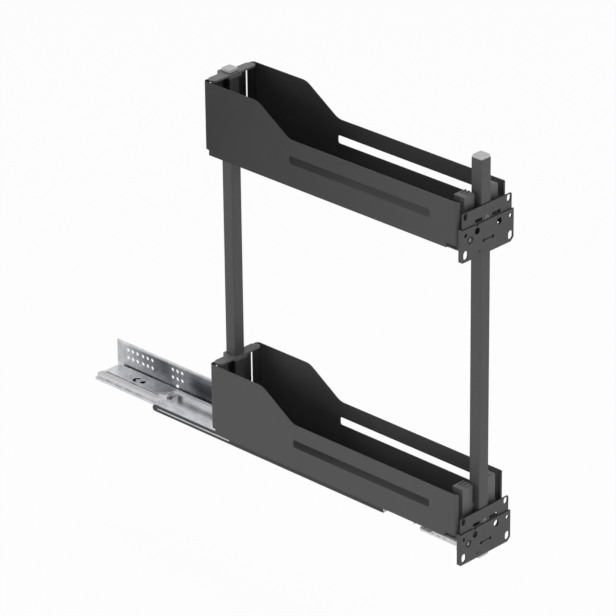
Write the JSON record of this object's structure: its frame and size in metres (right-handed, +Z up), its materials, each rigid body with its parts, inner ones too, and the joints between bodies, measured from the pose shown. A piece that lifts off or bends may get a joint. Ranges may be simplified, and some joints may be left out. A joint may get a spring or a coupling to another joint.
{
  "type": "narrow pull-out rack",
  "caption": "Narrow two-tier pull-out rack for a base cabinet: sheet-steel baskets on square posts, door brackets and a full-extension side-mounted roller runner.",
  "frame": {"origin": "middle of the front group of screw holes, on the outer face of the flange that screws to the cabinet side", "axes": "+X towards the cabinet side that carries the rack, +Y from the door to the back of the cabinet, +Z up"},
  "size_m": [0.1055, 0.7946, 0.6105],
  "materials": {
    "zinc_sheet": "bright zinc-plated steel sheet",
    "powder_sheet": "anthracite fine-texture powder coat",
    "powder_post": "anthracite satin powder coat",
    "powder_plate": "anthracite powder coat",
    "cap_plastic": "light grey moulded plastic",
    "clamp_plastic": "mid grey moulded plastic",
    "block_plastic": "dark grey moulded plastic",
    "clip_plastic": "light grey moulded plastic",
    "roller_plastic": "off-white acetal",
    "cage_plastic": "dark moulded plastic",
    "screw_zinc": "zinc-plated fastener steel",
    "cam_metal": "dull zinc die casting"
  },
  "bodies": {
    "cabinet_side": {"cabinet_profile": "zinc_sheet", "cabinet_rear_stop": "clip_plastic"},
    "middle_member": {"middle_profile": "zinc_sheet", "middle_side_strip": "cage_plastic", "middle_stop": "screw_zinc", "middle_stop_rivet": "screw_zinc", "lower_glide": "roller_plastic", "upper_glide": "roller_plastic"},
    "lower_carriage": {"lower_roller_cage": "cage_plastic"},
    "lower_wheel_1": {"lower_roller_1": "roller_plastic"},
    "lower_wheel_2": {"lower_roller_2": "roller_plastic"},
    "lower_wheel_3": {"lower_roller_3": "roller_plastic"},
    "upper_carriage": {"upper_roller_cage": "cage_plastic"},
    "upper_wheel_1": {"upper_roller_1": "roller_plastic"},
    "upper_wheel_2": {"upper_roller_2": "roller_plastic"},
    "upper_wheel_3": {"upper_roller_3": "roller_plastic"},
    "rack": {"drawer_profile": "zinc_sheet", "front_clip": "clip_plastic", "lever_pin": "screw_zinc", "front_post_bracket": "zinc_sheet", "front_post_screws": "screw_zinc", "drawer_rivets": "screw_zinc", "front_post": "powder_post", "rear_post": "powder_post", "front_post_cap": "cap_plastic", "rear_post_cap": "cap_plastic", "front_post_foot": "cap_plastic", "rear_post_plug": "screw_zinc", "rear_post_screw": "screw_zinc", "lower_basket": "powder_sheet", "lower_basket_screws": "screw_zinc", "lower_rear_clamp": "clamp_plastic", "lower_set_screw": "screw_zinc", "lower_near_clamp": "block_plastic", "lower_far_clamp": "block_plastic", "lower_clamp_bolt": "screw_zinc", "lower_clamp_nut": "screw_zinc", "lower_post_plate": "powder_plate", "lower_plate_screws": "screw_zinc", "upper_post_plate": "powder_plate", "upper_plate_screws": "screw_zinc"},
    "upper_tier": {"upper_basket": "powder_sheet", "upper_rear_clamp": "clamp_plastic", "upper_set_screw": "screw_zinc", "upper_near_clamp": "block_plastic", "upper_far_clamp": "block_plastic", "upper_clamp_bolt": "screw_zinc", "upper_clamp_nut": "screw_zinc"},
    "lever": {"release_lever": "clip_plastic"},
    "lower_door_mount": {"lower_door_plate": "powder_plate", "lower_lock_screw": "cam_metal", "lower_lock_nut": "screw_zinc"},
    "upper_door_mount": {"upper_door_plate": "powder_plate", "upper_lock_screw": "cam_metal", "upper_lock_nut": "screw_zinc"},
    "lower_cam": {"lower_height_cam": "cam_metal"},
    "upper_cam": {"upper_height_cam": "cam_metal"}
  },
  "joints": [
    {"name": "rack_slide", "type": "slide", "parent": "cabinet_side", "child": "rack", "axis": [0, -1, 0], "range_m": [-0.29, 0.16]},
    {"name": "middle_slide", "type": "slide", "parent": "cabinet_side", "child": "middle_member", "axis": [0, -1, 0], "range_m": [-0.1451, 0.0801]},
    {"name": "lower_carriage_slide", "type": "slide", "parent": "cabinet_side", "child": "lower_carriage", "axis": [0, -1, 0], "range_m": [-0.0726, 0.0401]},
    {"name": "upper_carriage_slide", "type": "slide", "parent": "cabinet_side", "child": "upper_carriage", "axis": [0, -1, 0], "range_m": [-0.2176, 0.1201]},
    {"name": "lower_wheel_1_spin", "type": "hinge", "parent": "lower_carriage", "child": "lower_wheel_1", "pos_m": [-0.0405, 0.023, -0.0253], "axis": [1, 0, 0], "range_deg": [-740.94, 411.36]},
    {"name": "lower_wheel_2_spin", "type": "hinge", "parent": "lower_carriage", "child": "lower_wheel_2", "pos_m": [-0.0405, 0.124, -0.0253], "axis": [1, 0, 0], "range_deg": [-740.94, 411.36]},
    {"name": "lower_wheel_3_spin", "type": "hinge", "parent": "lower_carriage", "child": "lower_wheel_3", "pos_m": [-0.0405, 0.225, -0.0253], "axis": [1, 0, 0], "range_deg": [-740.94, 411.36]},
    {"name": "upper_wheel_1_spin", "type": "hinge", "parent": "upper_carriage", "child": "upper_wheel_1", "pos_m": [-0.0398, -0.099, -0.0151], "axis": [1, 0, 0], "range_deg": [-1367.68, 757.15]},
    {"name": "upper_wheel_2_spin", "type": "hinge", "parent": "upper_carriage", "child": "upper_wheel_2", "pos_m": [-0.0398, -0.002, -0.0151], "axis": [1, 0, 0], "range_deg": [-1367.68, 757.15]},
    {"name": "upper_wheel_3_spin", "type": "hinge", "parent": "upper_carriage", "child": "upper_wheel_3", "pos_m": [-0.0398, 0.095, -0.0151], "axis": [1, 0, 0], "range_deg": [-1367.68, 757.15]},
    {"name": "upper_tier_height", "type": "slide", "parent": "rack", "child": "upper_tier", "axis": [0, 0, 1], "range_m": [-0.3, 0.001]},
    {"name": "release_lever_turn", "type": "hinge", "parent": "rack", "child": "lever", "pos_m": [-0.073, -0.2518, -0.0199], "axis": [0, 0, -1], "range_deg": [0, 6], "stiffness_Nm_per_rad": 0.3},
    {"name": "lower_door_height", "type": "slide", "parent": "rack", "child": "lower_door_mount", "axis": [0, 0, 1], "range_m": [-0.002, 0.002]},
    {"name": "lower_cam_turn", "type": "hinge", "parent": "lower_door_mount", "child": "lower_cam", "pos_m": [-0.09, -0.3506, 0.0002], "axis": [0, 1, 0], "range_deg": [-44, 44]},
    {"name": "upper_door_height", "type": "slide", "parent": "rack", "child": "upper_door_mount", "axis": [0, 0, 1], "range_m": [-0.002, 0.002]},
    {"name": "upper_cam_turn", "type": "hinge", "parent": "upper_door_mount", "child": "upper_cam", "pos_m": [-0.09, -0.3506, 0.4631], "axis": [0, 1, 0], "range_deg": [-44, 44]}
  ],
  "couplings": [
    {"joint": "middle_slide", "follows": "rack_slide", "ratio": 0.5},
    {"joint": "lower_carriage_slide", "follows": "rack_slide", "ratio": 0.25},
    {"joint": "upper_carriage_slide", "follows": "rack_slide", "ratio": 0.75},
    {"joint": "lower_wheel_1_spin", "follows": "rack_slide", "rad_per_m": 44.248},
    {"joint": "lower_wheel_2_spin", "follows": "rack_slide", "rad_per_m": 44.248},
    {"joint": "lower_wheel_3_spin", "follows": "rack_slide", "rad_per_m": 44.248},
    {"joint": "upper_wheel_1_spin", "follows": "rack_slide", "rad_per_m": 81.967},
    {"joint": "upper_wheel_2_spin", "follows": "rack_slide", "rad_per_m": 81.967},
    {"joint": "upper_wheel_3_spin", "follows": "rack_slide", "rad_per_m": 81.967},
    {"joint": "lower_cam_turn", "follows": "lower_door_height", "rad_per_m": 378.57},
    {"joint": "upper_cam_turn", "follows": "upper_door_height", "rad_per_m": 378.57}
  ]
}
